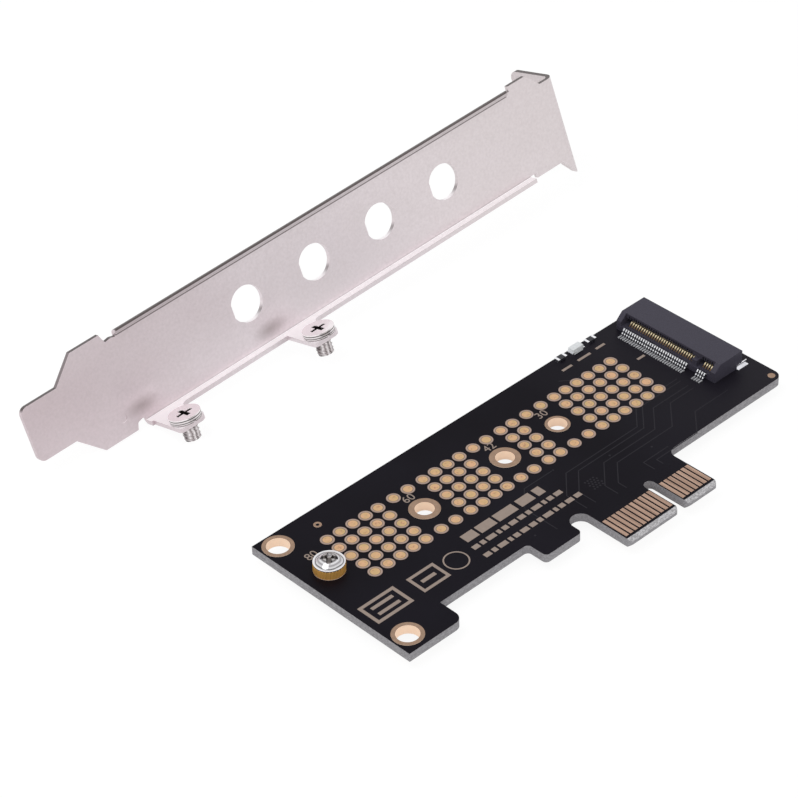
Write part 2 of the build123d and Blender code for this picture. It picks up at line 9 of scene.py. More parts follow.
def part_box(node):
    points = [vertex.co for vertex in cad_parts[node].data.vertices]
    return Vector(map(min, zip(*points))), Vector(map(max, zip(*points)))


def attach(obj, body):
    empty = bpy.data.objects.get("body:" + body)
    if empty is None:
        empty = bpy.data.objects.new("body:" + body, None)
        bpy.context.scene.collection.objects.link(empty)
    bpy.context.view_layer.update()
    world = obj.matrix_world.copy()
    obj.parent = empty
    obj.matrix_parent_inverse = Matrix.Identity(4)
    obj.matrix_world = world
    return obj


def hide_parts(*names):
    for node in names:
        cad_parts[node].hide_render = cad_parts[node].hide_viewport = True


# Slot adapter card with its loose slot bracket: finishes, fine detail, light and camera.
# Metres, in the CAD part's frame: X along the board to the socket, Y away from the tongue, Z up.

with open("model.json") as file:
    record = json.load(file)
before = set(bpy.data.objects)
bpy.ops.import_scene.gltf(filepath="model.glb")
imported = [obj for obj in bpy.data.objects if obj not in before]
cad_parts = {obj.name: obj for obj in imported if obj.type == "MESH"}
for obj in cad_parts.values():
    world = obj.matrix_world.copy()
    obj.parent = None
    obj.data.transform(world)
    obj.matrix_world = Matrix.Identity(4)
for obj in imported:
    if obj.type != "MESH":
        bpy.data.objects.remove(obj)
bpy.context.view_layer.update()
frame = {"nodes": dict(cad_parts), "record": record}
nodes = frame["nodes"]
scene = bpy.context.scene
mm = 0.001


# Shader building

# Puts a value or a link into a socket
def plug(tree, target, item):
    if isinstance(item, Wire):
        tree.links.new(item.socket, target)
    elif target.type == "RGBA" and len(item) == 3:
        target.default_value = (*item, 1)
    else:
        target.default_value = item


# A shader socket that adds, multiplies and compares like a number
class Wire:
    def __init__(self, tree, socket):
        self.tree = tree
        self.socket = socket

    def reckon(self, operation, *others):
        node = self.tree.nodes.new("ShaderNodeMath")
        node.operation = operation
        for target, item in zip(node.inputs, (self, *others)):
            plug(self.tree, target, item)
        return Wire(self.tree, node.outputs[0])

    def __add__(self, other):
        return self.reckon("ADD", other)

    def __sub__(self, other):
        return self.reckon("SUBTRACT", other)

    def __rsub__(self, other):
        return self.reckon("MULTIPLY_ADD", -1, other)

    def __mul__(self, other):
        return self.reckon("MULTIPLY", other)

    def __truediv__(self, other):
        return self.reckon("DIVIDE", other)

    def __gt__(self, other):
        return self.reckon("GREATER_THAN", other)

    def __lt__(self, other):
        return self.reckon("LESS_THAN", other)

    def __abs__(self):
        return self.reckon("ABSOLUTE")

    def clamped(self):
        return self.reckon("MINIMUM", 1).reckon("MAXIMUM", 0)

    # Zero below low, one above high
    def between(self, low, high):
        return ((self - low) / (high - low)).clamped()


# A material with one Principled shader
class Finish:
    def __init__(self, name, **inputs):
        self.material = bpy.data.materials.new(name)
        self.material.use_nodes = True
        self.tree = self.material.node_tree
        self.shader = self.tree.nodes["Principled BSDF"]
        self.coordinates = self.tree.nodes.new("ShaderNodeTexCoord")
        self.put(inputs)

    # Sets inputs of the Principled shader; an underscore stands for a space
    def put(self, inputs):
        for key, item in inputs.items():
            plug(self.tree, self.shader.inputs[key.replace("_", " ")], item)

    # Any other node: its type, its settings, then its inputs by name or number
    def add(self, kind, settings=None, inputs=None, output=0, stops=None):
        node = self.tree.nodes.new("ShaderNode" + kind)
        for key, value in (settings or {}).items():
            setattr(node, key, value)
        if stops:
            ramp = node.color_ramp.elements
            while len(ramp) < len(stops):
                ramp.new(0.5)
            for element, (place, colour) in zip(ramp, stops):
                element.position = place
                element.color = (*colour, 1)
        for key, item in (inputs or {}).items():
            plug(self.tree, node.inputs[key], item)
        return Wire(self.tree, node.outputs[output])

    def place(self):
        return Wire(self.tree, self.coordinates.outputs["Object"])

    def facing(self):
        return Wire(self.tree, self.coordinates.outputs["Normal"])

    def axis(self, vector, name):
        return self.add("SeparateXYZ", inputs={0: vector}, output="XYZ".index(name))

    # Distance of each point along a direction from a start
    def reach(self, start, way):
        shifted = self.add("VectorMath", {"operation": "SUBTRACT"}, {0: self.place(), 1: start})
        return self.add("VectorMath", {"operation": "DOT_PRODUCT"}, {0: shifted, 1: way},
                        output="Value")

    # How far each face looks in a direction
    def facingAlong(self, way):
        return self.add("VectorMath", {"operation": "DOT_PRODUCT"}, {0: self.facing(), 1: way},
                        output="Value")

    def stretched(self, scale):
        return self.add("Mapping", inputs={"Vector": self.place(), "Scale": scale})

    def noise(self, vector, scale, detail=2):
        return self.add("TexNoise", inputs={"Vector": vector, "Scale": scale, "Detail": detail})

    # Soft patches of a given size, from zero to one
    def mottle(self, scale, low=0.3, high=0.7, detail=2):
        return self.noise(self.place(), scale, detail).between(low, high)

    def attribute(self, name):
        return self.add("Attribute", {"attribute_name": name}, output="Fac")

    def blend(self, share, first, second):
        inputs = {0: share, 6: first, 7: second}
        return self.add("Mix", {"data_type": "RGBA"}, inputs, output=2)

    def ramp(self, share, stops):
        return self.add("ValToRGB", inputs={0: share}, stops=stops)

    def bump(self, height, strength, distance):
        inputs = {"Height": height, "Strength": strength, "Distance": distance}
        self.put({"Normal": self.add("Bump", inputs=inputs)})


# Colours, roughness and pattern sizes of each finish
finishLook = {
    "mask": {"colour": (0.0035, 0.0024, 0.0056), "cloud": (0.0075, 0.0062, 0.0115),
             "cloudScale": 45, "far": (0.0195, 0.0175, 0.0240), "farSpan": (55, 95),
             "slopeFrom": 0.3, "flatFrom": 0.97, "roughness": 0.4, "wallRoughness": 0.7,
             "specular": 0.06, "bumpScale": 900, "bump": 0.12},
    "track": {"colour": (0.016, 0.0145, 0.021), "roughness": 0.45, "specular": 0.15},
    "fibre": {"colour": (0.32, 0.31, 0.325), "speckle": (0.46, 0.45, 0.47), "scale": 2600,
              "stretch": (1, 1, 3), "grain": (0.42, 0.62)},
    "bevelSpeckle": {"colour": (0.42, 0.41, 0.42), "speckle": (0.72, 0.71, 0.73)},
    "gold": {"colour": (0.52, 0.35, 0.265), "streak": (0.36, 0.235, 0.175),
             "streakScale": (1400, 90, 1), "streaks": (0.35, 0.68), "metallic": 0.8,
             "roughness": 0.36, "rougher": 0.12},
    "land": {"colour": (0.335, 0.225, 0.16), "wear": 1.2, "wearScale": 1500,
             "flatFrom": 0.5, "metallic": 0.88, "roughness": 0.45},
    # Hole barrel: its pale colour and glow are painted light seen through the hole
    "glowingBarrel": {"colour": (0.92, 0.72, 0.56), "glow": 0.22},
    "padCentre": {"colour": (0.78, 0.46, 0.27), "other": (0.64, 0.45, 0.20),
                  "mottleScale": 1500, "mottleFrom": (0.35, 0.65), "mottle": 0.6, "tone": 0.4,
                  "fleck": (0.52, 0.24, 0.14), "fleckScale": 2300, "fleckFrom": (0.56, 0.66),
                  "fleckWithin": (0.3, 0.55), "fleckShare": 0.75,
                  "metallic": 0.45, "roughness": 0.42, "bumpScale": 2500, "bump": 0.25},
    # Pad ring: its dark colour paints shade in a thin ring, and also darkens the outer rim
    "padRing": {"colour": (0.47, 0.345, 0.285), "grooveShade": (0.17, 0.11, 0.085),
                "start": (0.66, 0.74), "grooveIn": (0.62, 0.70), "grooveOut": (0.72, 0.80),
                "grooveShare": 0.8, "rim": (0.93, 0.97), "rimShare": 0.5},
    "moulding": {"colour": (0.052, 0.048, 0.068), "lighter": 1.25, "scale": 5200,
                 "grain": (0.35, 0.7), "bump": 0.3, "bumpDepth": 0.03, "roughness": 0.55,
                 "specular": 0.22},
    "tin": {"colour": (0.93, 0.93, 0.96), "metallic": 1, "roughness": 0.2},
    # Tin tails: dark and bright bands of painted shade and painted highlight by height; gold arms:
    # a painted glint above a height
    "contactTin": {"colour": (0.96, 0.97, 1.0), "dark": (0.06, 0.06, 0.075),
                   "bands": (0.12, 0.32, 0.55, 0.78), "darkens": 0.06,
                   "brightens": 0.08, "metallic": 0.35, "roughness": 0.25},
    "contactGold": {"colour": (0.95, 0.80, 0.52), "dark": (0.16, 0.09, 0.03), "start": 78.5,
                    "shine": (1.2, 1.38), "metallic": 1, "roughness": 0.24},
    "brass": {"colour": (1.0, 0.56, 0.15), "metallic": 0.4, "roughness": 0.2},
    # Dome rings: painted reflections and painted shade by distance from the axis
    "chrome": {"metallic": 0.9, "roughness": 0.12, "radius": 2.55, "swayScale": 500, "sway": 0.12,
               "rings": [
        (0.0, (0.10, 0.09, 0.09)), (0.22, (0.16, 0.14, 0.13)), (0.34, (0.55, 0.53, 0.53)),
        (0.44, (0.12, 0.11, 0.11)), (0.55, (0.85, 0.84, 0.86)), (0.66, (0.32, 0.31, 0.32)),
        (0.78, (0.78, 0.77, 0.79)), (0.84, (0.05, 0.05, 0.05)), (0.88, (0.62, 0.61, 0.63)),
        (0.97, (0.90, 0.89, 0.91))]},
    # Screw plate: painted reflections in streaks and head rims, painted highlight on the tops,
    # painted shade in the recesses
    "nickel": {"top": (0.95, 0.89, 0.91), "topFrom": (0.8, 0.95), "metallic": 0.75,
               "roughness": 0.16, "swayScale": 900, "sway": 0.2, "streaks": [
        (0.0, (0.10, 0.08, 0.08)), (0.14, (0.90, 0.85, 0.86)), (0.27, (0.22, 0.18, 0.18)),
        (0.40, (0.95, 0.90, 0.91)), (0.52, (0.14, 0.11, 0.11)), (0.66, (0.80, 0.75, 0.76)),
        (0.82, (0.30, 0.26, 0.26)), (1.0, (0.12, 0.10, 0.10))],
        "recess": (0.05, 0.04, 0.04), "recessReach": 1.9, "recessTop": 1.85,
        "between": 38.25, "halfPitch": 14.5, "depth": -7.2, "headSpan": (0.8, 2.0), "head": [
        (0.0, (0.08, 0.06, 0.06)), (0.10, (0.10, 0.08, 0.08)), (0.16, (0.92, 0.87, 0.88)),
        (0.26, (0.75, 0.70, 0.71)), (0.30, (0.04, 0.03, 0.03)), (0.40, (0.06, 0.05, 0.05)),
        (0.46, (0.70, 0.65, 0.66)), (0.62, (0.95, 0.90, 0.91)), (0.68, (0.06, 0.05, 0.05)),
        (0.76, (0.10, 0.08, 0.08)), (0.84, (0.95, 0.90, 0.91))]},
    "lens": {"colour": (0.90, 0.93, 0.95), "roughness": 0.3},
    "glaze": {"colour": (0.03, 0.03, 0.038), "roughness": 0.3, "specular": 0.3},
    "bracket": {"tail": (0.69, 0.59, 0.62), "middle": (0.83, 0.755, 0.785),
                # Next line: a dark colour for painted shade and dark painted reflections along the
                # lips
                "flange": (0.745, 0.68, 0.69), "edge": (0.12, 0.10, 0.10),
                # Next line: a near-white colour and glow for the painted highlight on the lower
                # lip, and a dark tint for the painted reflections of the tabs, which also colours
                # the grain
                "lip": (1.0, 0.95, 0.97), "lipGlow": 0.16, "reflectionAndGrain": (0.34, 0.285, 0.28),
                "reflectionAt": ((20.6, 3.6), (48.3, 2.9)), "reflectionReach": (0.2, 2.6),
                "reflectionShare": 0.55,
                "origin": (-12.74, 55.875, -2.46), "tilt": (-17.49, -4.36, -1.47),
                "lipSpan": (20.5, 108.9),
                # Bands by height for painted shade: under the top lip, on its front edge, at its
                # top, and in the lower fold
                "lines": ((16.7, 17.25, 0.9), (17.2, 17.65, 0.3), (17.6, 18.1, 1),
                          (0.86, 1.12, 0.35)),
                "length": 120, "cloudScale": (40, 60, 60), "drift": 0.2, "grainScale": 1900,
                "grainShare": 0.14, "toneAt": (0.45, 0.95), "reflectionShape": (0.45, 2),
                "frontDepth": 0.1, "upFrom": (0.5, 0.8), "lipBelow": (6, 7), "endFade": 0.2,
                "lineFade": 0.12, "metallic": 0.8, "lipLess": 0.65, "roughness": 0.36,
                "rougher": 0.08, "bump": 0.1},
    "print": {"colour": (0.40, 0.32, 0.275), "roughness": 0.6, "specular": 0.1},
}


# Depth of the fine bumps
bumpDepth = 0.02 * mm

# Uneven tone that all plain metals and all plastics share
metalTone = {"scale": 700, "darker": 0.88, "rougher": 0.06}
plasticTone = {"scale": 1800, "darker": 0.92, "specular": 0.4}

# The loose bracket's own frame: along it, behind its face and across it
sheet = finishLook["bracket"]
sheetTurn = Euler([math.radians(angle) for angle in sheet["tilt"]], "XYZ")
sheetWays = [column.copy() for column in sheetTurn.to_matrix().col]
sheetStart = Vector(sheet["origin"]) * mm


def scaled(colour, factor):
    return tuple(channel * factor for channel in colour)


# Millimetres along one way of the bracket's frame
def sheetReach(finish, number):
    return finish.reach(tuple(sheetStart), tuple(sheetWays[number])) / mm


# Dark mask on the flat faces, glass fibre on the walls, bare speckled laminate on the bevel
def maskFinish():
    look, fibre, bevel = finishLook["mask"], finishLook["fibre"], finishLook["bevelSpeckle"]
    finish = Finish("solderMask")
    upright = abs(finish.axis(finish.facing(), "Z"))
    weave = finish.noise(finish.stretched(fibre["stretch"]), fibre["scale"], 3)
    grain = weave.between(*fibre["grain"])
    wall = finish.blend(grain, fibre["colour"], fibre["speckle"])
    slope = finish.blend(grain, bevel["colour"], bevel["speckle"])
    mask = finish.blend(finish.mottle(look["cloudScale"]), look["colour"], look["cloud"])
    along = finish.axis(finish.place(), "X") / mm
    mask = finish.blend(along.between(*look["farSpan"]), mask, look["far"])
    edge = finish.blend(upright > look["slopeFrom"], wall, slope)
    flat = upright > look["flatFrom"]
    finish.put({
        "Base Color": finish.blend(flat, edge, mask),
        "Roughness": flat * (look["roughness"] - look["wallRoughness"]) + look["wallRoughness"],
        "Specular IOR Level": look["specular"],
    })
    finish.bump(finish.noise(finish.place(), look["bumpScale"], 3), look["bump"], bumpDepth)
    return finish.material


# Thin gold on the fingers, with streaks along the way they slide
def goldFinish():
    look = finishLook["gold"]
    finish = Finish("fingerGold", Metallic=look["metallic"])
    streak = finish.noise(finish.stretched(look["streakScale"]), 1, 3).between(*look["streaks"])
    finish.put({
        "Base Color": finish.blend(streak, look["colour"], look["streak"]),
        "Roughness": streak * look["rougher"] + look["roughness"],
    })
    return finish.material


# Tan lands; the barrel through the hole gets a pale colour and a faint glow, painted light that
# stands in for light seen through the hole
def landFinish():
    look, glowingBarrel = finishLook["land"], finishLook["glowingBarrel"]
    finish = Finish("platedHole", Roughness=look["roughness"])
    flat = abs(finish.axis(finish.facing(), "Z")) > look["flatFrom"]
    worn = scaled(look["colour"], look["wear"])
    tan = finish.blend(finish.mottle(look["wearScale"]), look["colour"], worn)
    finish.put({
        # Painted light: the barrel walls are pale and glow a little
        "Base Color": finish.blend(flat, glowingBarrel["colour"], tan),
        "Metallic": flat * look["metallic"],
        "Emission Color": finish.blend(flat, glowingBarrel["colour"], (0, 0, 0)),
        "Emission Strength": glowingBarrel["glow"],
    })
    return finish.material


# Bare copper discs: tan ring with a thin ring of painted shade inside it and a darker outer rim,
# peach centre
def padFinish():
    centre, ring = finishLook["padCentre"], finishLook["padRing"]
    finish = Finish("heatPad", Metallic=centre["metallic"], Roughness=centre["roughness"])
    share = finish.attribute("share")
    tone = finish.attribute("tone")
    mottle = finish.mottle(centre["mottleScale"], *centre["mottleFrom"])
    mixed = mottle * centre["mottle"] + tone * centre["tone"]
    peach = finish.blend(mixed, centre["colour"], centre["other"])
    fleck = finish.mottle(centre["fleckScale"], *centre["fleckFrom"])
    fleck = fleck * (1 - share.between(*centre["fleckWithin"]))
    marked = finish.blend(fleck * centre["fleckShare"], peach, centre["fleck"])
    # Painted shade: a thin dark ring inside the tan ring; the outer rim is darkened with the same
    # colour
    grooveShade = share.between(*ring["grooveIn"]) * (1 - share.between(*ring["grooveOut"]))
    dark = grooveShade * ring["grooveShare"] + share.between(*ring["rim"]) * ring["rimShare"]
    body = finish.blend(share.between(*ring["start"]), marked, ring["colour"])
    finish.put({"Base Color": finish.blend(dark.clamped(), body, ring["grooveShade"])})
    finish.bump(finish.noise(finish.place(), centre["bumpScale"]), centre["bump"], bumpDepth)
    return finish.material


# Fine matte moulding
def mouldingFinish():
    look = finishLook["moulding"]
    finish = Finish("socketMoulding", Roughness=look["roughness"])
    fine = finish.noise(finish.place(), look["scale"], 3)
    lighter = scaled(look["colour"], look["lighter"])
    finish.put({
        "Base Color": finish.blend(fine.between(*look["grain"]), look["colour"], lighter),
        "Specular IOR Level": look["specular"],
    })
    finish.bump(fine, look["bump"], look["bumpDepth"] * mm)
    return finish.material


# Plated or polished metal with faint uneven tone
def metalFinish(name, key):
    look = finishLook[key]
    finish = Finish(name, Metallic=look["metallic"])
    cloud = finish.mottle(metalTone["scale"])
    darker = scaled(look["colour"], metalTone["darker"])
    finish.put({
        "Base Color": finish.blend(cloud, look["colour"], darker),
        "Roughness": cloud * metalTone["rougher"] + look["roughness"],
    })
    return finish.material


# Plastic or glaze with a faint mottle
def plasticFinish(name, key):
    look = finishLook[key]
    finish = Finish(name, Roughness=look["roughness"])
    mottle = finish.mottle(plasticTone["scale"])
    darker = scaled(look["colour"], plasticTone["darker"])
    finish.put({
        "Base Color": finish.blend(mottle, look["colour"], darker),
        "Specular IOR Level": look.get("specular", plasticTone["specular"]),
    })
    return finish.material


# Front contacts: painted highlights and painted shade in bands by height on the tin tails, and a
# painted glint on the raised part of the gold arms inside the slot
def contactFinish():
    tin, gold = finishLook["contactTin"], finishLook["contactGold"]
    finish = Finish("frontContacts", Metallic=tin["metallic"], Roughness=tin["roughness"])
    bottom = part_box("socket_lower_contacts")[0][2]
    rise = (finish.axis(finish.place(), "Z") - bottom) / mm
    first, second, third, fourth = tin["bands"]
    down, up = tin["darkens"], tin["brightens"]
    # Painted highlights and painted shade: the tails turn dark and bright in bands by height
    lit = (1 - rise.between(first, first + down)) + rise.between(second, second + up)
    lit = lit - rise.between(third, third + down) + rise.between(fourth, fourth + up)
    tails = finish.blend(lit.clamped(), tin["dark"], tin["colour"])
    # Painted glint: the gold arms are bright only above a height, dark below it
    arms = finish.blend(rise.between(*gold["shine"]), gold["dark"], gold["colour"])
    inside = finish.axis(finish.place(), "X") / mm > gold["start"]
    finish.put({"Base Color": finish.blend(inside, tails, arms)})
    return finish.material


# Polished dome: painted reflections in rings round the axis, with painted shade in the recess and
# the neck line and painted highlights in bright rings between them
def chromeFinish():
    look = finishLook["chrome"]
    finish = Finish("brightNickel", Metallic=look["metallic"], Roughness=look["roughness"])
    low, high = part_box("module_screw")
    x = finish.axis(finish.place(), "X") - (low[0] + high[0]) / 2
    y = finish.axis(finish.place(), "Y") - (low[1] + high[1]) / 2
    share = (x * x + y * y).reckon("SQRT") / (look["radius"] * mm)
    sway = finish.noise(finish.place(), look["swayScale"], 1) * look["sway"] - look["sway"] / 2
    # Painted reflections: colour rings by distance from the screw's axis
    finish.put({"Base Color": finish.ramp(share + sway, look["rings"])})
    return finish.material


# Bright plate with painted reflections: light and dark streaks round the shanks by the way each
# face looks, dark and light rims on the heads by height, painted shade in the recesses, and a
# painted highlight on faces that look along the screws
def nickelFinish():
    look = finishLook["nickel"]
    finish = Finish("nickelPlate", Metallic=look["metallic"], Roughness=look["roughness"])
    # Painted reflections: light and dark streaks by the way each face looks
    side = finish.axis(finish.facing(), "X") * 0.5 + 0.5
    sway = finish.noise(finish.place(), look["swayScale"]) * look["sway"] - look["sway"] / 2
    streaks = finish.ramp((side + sway).clamped(), look["streaks"])
    along, back, height = (sheetReach(finish, number) for number in range(3))
    low, high = look["headSpan"]
    # Painted reflections and painted shade: light and dark rims on the heads by height
    rims = finish.ramp(height.between(low, high), look["head"])
    walls = finish.blend(height > low, streaks, rims)
    beside = abs(along - look["between"]) - look["halfPitch"]
    behind = back - look["depth"]
    radius = (beside * beside + behind * behind).reckon("SQRT")
    # Painted shade in the recesses of the heads
    recess = (radius < look["recessReach"]) * (height < look["recessTop"]) * (height > low)
    # Painted highlight: faces that look along the screws turn bright
    level = abs(finish.facingAlong(tuple(sheetWays[2])))
    plate = finish.blend(level.between(*look["topFrom"]), walls, look["top"])
    finish.put({"Base Color": finish.blend(recess, plate, look["recess"])})
    return finish.material


# Satin plate on the folded sheet: fine grain; painted shade in thin bands along the lips and on
# the top lip's upper faces; soft dark painted reflections of the tabs; a painted highlight with a
# faint glow on the lower lip
def bracketFinish():
    finish = Finish("bracketPlate")
    along, depth, height = (sheetReach(finish, number) for number in range(3))
    cloud = finish.noise(finish.stretched(sheet["cloudScale"]), 1).between(0.3, 0.7)
    grain = finish.mottle(sheet["grainScale"], detail=3)
    share = along / sheet["length"] + cloud * sheet["drift"] - sheet["drift"] / 2
    middleAt, flangeAt = sheet["toneAt"]
    tone = finish.ramp(share.clamped(), [
        (0, sheet["tail"]), (middleAt, sheet["middle"]), (flangeAt, sheet["flange"])])
    front = depth < sheet["frontDepth"]
    wide, tall = sheet["reflectionShape"]
    # Painted reflections of the tabs and screws: soft dark patches on the front face
    for u, w in sheet["reflectionAt"]:
        aside, above = along - u, height - w
        offset = (aside * aside * wide + above * above * tall).reckon("SQRT")
        tabReflection = (1 - offset.between(*sheet["reflectionReach"])) * front
        tone = finish.blend(tabReflection * sheet["reflectionShare"], tone, sheet["reflectionAndGrain"])
    # Painted highlight: faces that look up along the sheet below its middle, on the lower lip,
    # turn near white, lose some metal and glow a little
    upward = finish.facingAlong(tuple(sheetWays[2])).between(*sheet["upFrom"])
    high = height.between(*sheet["lipBelow"])
    lip = upward * (1 - high)
    tone = finish.blend(lip, tone, sheet["lip"])
    first, last = sheet["lipSpan"]
    fade = sheet["endFade"]
    span = along.between(first, first + fade) * (1 - along.between(last - fade, last))
    fade = sheet["lineFade"]
    # Painted shade in thin bands by height along the lips
    for low, top, strength in sheet["lines"]:
        line = height.between(low, low + fade) * (1 - height.between(top - fade, top)) * span
        tone = finish.blend(line * strength, tone, sheet["edge"])
    # Real fine grain, darkened towards the same colour as the painted reflections
    tone = finish.blend(grain * sheet["grainShare"], tone, sheet["reflectionAndGrain"])
    finish.put({
        # Painted dark reflection on the faces of the top lip that look up along the sheet
        "Base Color": finish.blend(upward * high, tone, sheet["edge"]),
        "Metallic": sheet["metallic"] - lip * sheet["lipLess"],
        "Roughness": grain * sheet["rougher"] + sheet["roughness"],
        # The glow is part of the painted highlight on the lower lip
        "Emission Color": finish.blend(lip, (0, 0, 0), sheet["lip"]),
        "Emission Strength": sheet["lipGlow"],
    })
    finish.bump(grain, sheet["bump"], bumpDepth)
    return finish.material


finishes = {
    "solder_mask": maskFinish(),
    "gold_plate": goldFinish(),
    "bare_copper": landFinish(),
    "heat_pad": padFinish(),
    "socket_plastic": mouldingFinish(),
    "tinned_metal": metalFinish("tinPlate", "tin"),
    "contact_gold": metalFinish("contactPlate", "contactGold"),
    "front_contacts": contactFinish(),
    "faint_track": plasticFinish("faintTrack", "track"),
    "brass": metalFinish("turnedBrass", "brass"),
    "bright_nickel": chromeFinish(),
    "nickel_plate": nickelFinish(),
    "white_plastic": plasticFinish("lampPlastic", "lens"),
    "resistor_glaze": plasticFinish("resistorGlaze", "glaze"),
    "bracket_steel": bracketFinish(),
    "board_print": plasticFinish("boardPrint", "print"),
}
print("finishes made:", len(finishes))


# Pieces

# Parents and finishes a piece that stands in the row frame
def keep(piece, slot, finish, *replaced):
    piece.data.materials.clear()
    piece.data.materials.append(finishes[finish])
    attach(piece, "root")
    if replaced:
        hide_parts(*replaced)


def newPiece(name, mesh):
    piece = bpy.data.objects.new(name, mesh)
    scene.collection.objects.link(piece)
    return piece


# Final mesh of a draft, which is then removed
def evaluated(draft):
    scene.view_layers[0].update()
    graph = bpy.context.evaluated_depsgraph_get()
    mesh = bpy.data.meshes.new_from_object(draft.evaluated_get(graph))
    bpy.data.objects.remove(draft)
    return mesh


# Points closer than this become one
mergeGap = 0.0005 * mm


# Merged mesh of a CAD node
def mergedMesh(node):
    shape = bmesh.new()
    shape.from_mesh(nodes[node].data)
    bmesh.ops.remove_doubles(shape, verts=shape.verts, dist=mergeGap)
    return shape


# Boxes round each separate solid of a CAD node
def solidBoxes(node):
    shape = mergedMesh(node)
    waiting, boxes = set(shape.verts), []
    while waiting:
        group, found = set(), [waiting.pop()]
        while found:
            vert = found.pop()
            group.add(vert)
            near = {other for link in vert.link_edges for other in link.verts} & waiting
            waiting -= near
            found += near
        points = [vert.co for vert in group]
        boxes.append(tuple(Vector(pick(point[k] for point in points) for k in range(3))
                           for pick in (min, max)))
    shape.free()
    return boxes


# Normals weighted by area, so that flat faces stay flat beside bends and bevels
def settleNormals(mesh, limit):
    around = {}
    for polygon in mesh.polygons:
        for index in polygon.vertices:
            around.setdefault(index, []).append(polygon)
    least = math.cos(math.radians(limit))
    normals = []
    for polygon in mesh.polygons:
        for index in polygon.vertices:
            total = polygon.normal * 1e-12
            for other in around[index]:
                if other.normal.dot(polygon.normal) > least:
                    total += other.normal * other.area
            normals.append(total.normalized())
    mesh.shade_smooth()
    mesh.normals_split_custom_set(normals)


# The notch in the bracket's flange flares a little at its mouth
flare = {"mouth": (119.6, 4.2, -3.35), "near": 0.6, "rise": 1.0}


def flareNotch(shape):
    steps = (way * (far * mm) for way, far in zip(sheetWays, flare["mouth"]))
    mouth = sum(steps, sheetStart.copy())
    for vert in shape.verts:
        if (vert.co - mouth).length < flare["near"] * mm:
            vert.co += sheetWays[2] * (flare["rise"] * mm)


# Corners sharper than "corner" degrees get the bevel; faces within "smooth" share their shading
edges = {"segments": 2, "corner": 35, "smooth": 40}


# Bevelled copy of a CAD node, shown in its place
def dressed(node, bevel, slot, finish):
    shape = mergedMesh(node)
    if node == "bracket":
        flareNotch(shape)
    mesh = bpy.data.meshes.new(node + "Dressed")
    shape.to_mesh(mesh)
    shape.free()
    draft = newPiece(node + "_draft", mesh)
    if bevel:
        modifier = draft.modifiers.new("edges", "BEVEL")
        modifier.width = bevel
        modifier.segments = edges["segments"]
        modifier.limit_method = "ANGLE"
        modifier.angle_limit = math.radians(edges["corner"])
    final = evaluated(draft)
    settleNormals(final, edges["smooth"])
    keep(newPiece(node + "_dressed", final), slot, finish, node)


# Bevel widths of the dressed copies, in millimetres; sheet and board keep their sharp edges
dressedPieces = {
    "circuit_board": (0, "solder_mask", "solder_mask"),
    "socket_housing": (0.07, "socket_plastic", "socket_plastic"),
    "socket_hold_downs": (0.04, "tinned_metal", "tinned_metal"),
    "standoff": (0.04, "brass", "brass"),
    "standoff_nut": (0.1, "nickel_plate", "nickel_plate"),
    "module_screw": (0.06, "bright_nickel", "bright_nickel"),
    "led_lens": (0.08, "white_plastic", "white_plastic"),
    "bracket": (0, "bracket_steel", "bracket_steel"),
    "bracket_screws": (0.12, "nickel_plate", "nickel_plate"),
    "bracket_lock_washers": (0.06, "nickel_plate", "nickel_plate"),
}
for node, (bevel, slot, finish) in dressedPieces.items():
    dressed(node, bevel * mm, slot, finish)
print("dressed pieces made:", len(dressedPieces))

# CAD nodes that are shown as they are
plainNodes = {
    "front_edge_contacts": "gold_plate",
    "back_edge_contacts": "gold_plate",
    "socket_lower_contacts": "front_contacts",
    "socket_upper_contacts": "contact_gold",
    "led_base": "white_plastic",
    "led_terminals": "tinned_metal",
    "resistor_bodies": "resistor_glaze",
    "resistor_terminals": "tinned_metal",
}
for node, finish in plainNodes.items():
    nodes[node].data.materials.clear()
    nodes[node].data.materials.append(finishes[finish])


# Geometry Nodes building

# A node group with one geometry in and out and named number inputs
class Recipe:
    def __init__(self, name, **numbers):
        self.tree = bpy.data.node_groups.new(name, "GeometryNodeTree")
        face = self.tree.interface
        face.new_socket("Geometry", in_out="INPUT", socket_type="NodeSocketGeometry")
        face.new_socket("Geometry", in_out="OUTPUT", socket_type="NodeSocketGeometry")
        self.keys = {}
        for key, value in numbers.items():
            kind = "NodeSocketInt" if isinstance(value, int) else "NodeSocketFloat"
            self.keys[key] = face.new_socket(key, in_out="INPUT", socket_type=kind).identifier
        self.numbers = numbers
        self.entry = self.tree.nodes.new("NodeGroupInput")
        self.leave = self.tree.nodes.new("NodeGroupOutput")

    def number(self, key):
        return self.entry.outputs[key]

    def add(self, kind, settings=None, inputs=None, output=0):
        node = self.tree.nodes.new(kind)
        for key, value in (settings or {}).items():
            setattr(node, key, value)
        for key, item in (inputs or {}).items():
            if isinstance(item, bpy.types.NodeSocket):
                self.tree.links.new(item, node.inputs[key])
            else:
                node.inputs[key].default_value = item
        return node.outputs[output]

    # Realized mesh of the recipe run on a mesh
    def bake(self, name, mesh, result, finish):
        whole = self.add("GeometryNodeRealizeInstances", inputs={0: result})
        painted = self.add("GeometryNodeSetMaterial",
                           inputs={0: whole, "Material": finishes[finish]})
        self.tree.links.new(painted, self.leave.inputs[0])
        draft = newPiece(name + "_draft", mesh)
        modifier = draft.modifiers.new("recipe", "NODES")
        modifier.node_group = self.tree
        for key, value in self.numbers.items():
            modifier[self.keys[key]] = value
        return newPiece(name, evaluated(draft))


def pointMesh(name, points):
    mesh = bpy.data.meshes.new(name)
    mesh.from_pydata(points, [], [])
    return mesh


# Heat pads: one ringed disc on each pad's place
padDisc = {"sides": 32, "rings": 4, "seed": 7}


